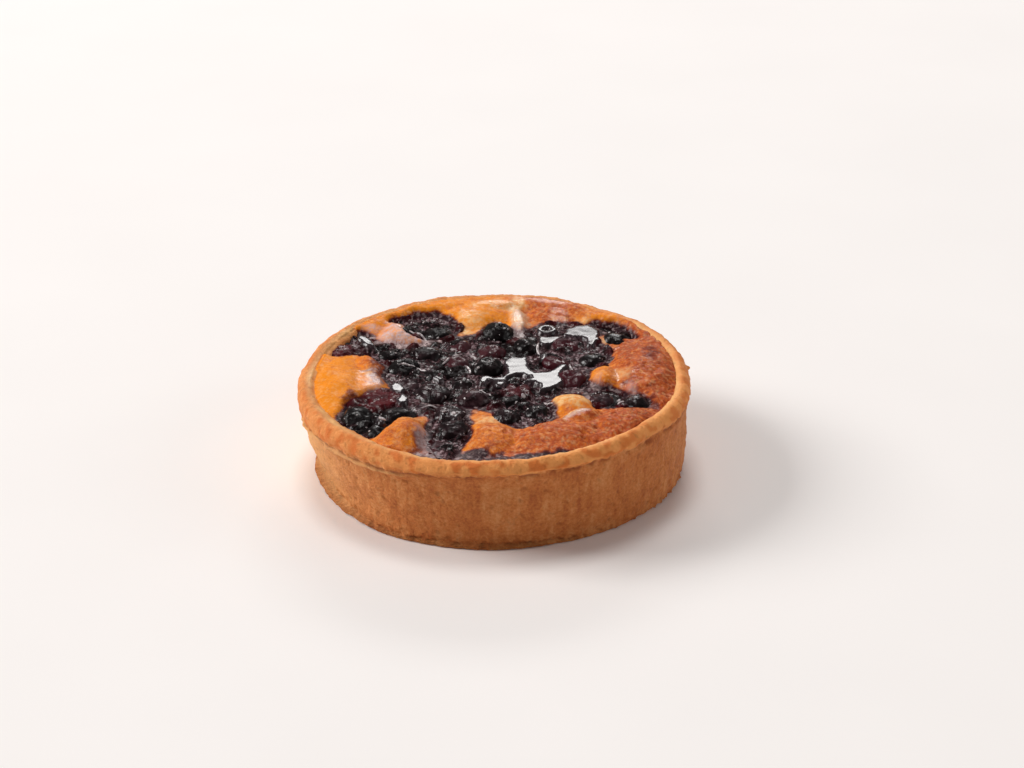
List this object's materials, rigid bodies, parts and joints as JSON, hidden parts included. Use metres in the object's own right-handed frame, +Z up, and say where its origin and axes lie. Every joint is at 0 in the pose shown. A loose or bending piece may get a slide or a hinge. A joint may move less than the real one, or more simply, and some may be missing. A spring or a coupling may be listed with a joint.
{
  "type": "blueberry almond tartlet",
  "caption": "Individual baked tartlet: a straight-sided shortcrust cup with a rolled lip, filled to the rim with puffed almond sponge and sunken glazed blueberries in their jam.",
  "frame": {"origin": "centre of the tartlet's bounding box at the level of its flat base", "axes": "+Z up through the filling, -Y towards the side that faces the camera in the picture, +X to that camera's right"},
  "size_m": [0.0992, 0.0996, 0.0269],
  "materials": {
    "shortcrust": "golden to brown baked shortcrust, matt with a fine grain",
    "almond_sponge": "golden to deep brown baked almond sponge under a thin clear glaze",
    "blueberry_jam": "set dark purple-red jam, wet gloss",
    "blueberry_skin": "near-black purple baked berry skin, wrinkled and glazed"
  },
  "bodies": {
    "root": {"almond_filling": "almond_sponge", "berry_jam": "blueberry_jam", "berry_jam_right": "blueberry_jam", "blueberry_01": "blueberry_skin", "blueberry_02": "blueberry_skin", "blueberry_03": "blueberry_skin", "blueberry_04": "blueberry_skin", "blueberry_05": "blueberry_skin", "blueberry_06": "blueberry_skin", "blueberry_07": "blueberry_skin", "blueberry_08": "blueberry_skin", "blueberry_09": "blueberry_skin", "blueberry_10": "blueberry_skin", "blueberry_11": "blueberry_skin", "blueberry_12": "blueberry_skin", "blueberry_13": "blueberry_skin", "blueberry_14": "blueberry_skin", "blueberry_15": "blueberry_skin", "blueberry_16": "blueberry_skin", "blueberry_17": "blueberry_skin", "blueberry_18": "blueberry_skin", "blueberry_19": "blueberry_skin", "blueberry_20": "blueberry_skin", "blueberry_21": "blueberry_skin", "blueberry_22": "blueberry_skin", "blueberry_23": "blueberry_skin", "blueberry_24": "blueberry_skin", "blueberry_25": "blueberry_skin", "blueberry_26": "blueberry_skin", "blueberry_27": "blueberry_skin", "blueberry_28": "blueberry_skin", "blueberry_29": "blueberry_skin", "blueberry_30": "blueberry_skin", "blueberry_31": "blueberry_skin", "blueberry_32": "blueberry_skin", "blueberry_33": "blueberry_skin", "blueberry_34": "blueberry_skin", "blueberry_35": "blueberry_skin", "blueberry_36": "blueberry_skin", "blueberry_37": "blueberry_skin", "blueberry_38": "blueberry_skin", "blueberry_39": "blueberry_skin", "blueberry_40": "blueberry_skin", "pastry_shell": "shortcrust"}
  },
  "joints": []
}
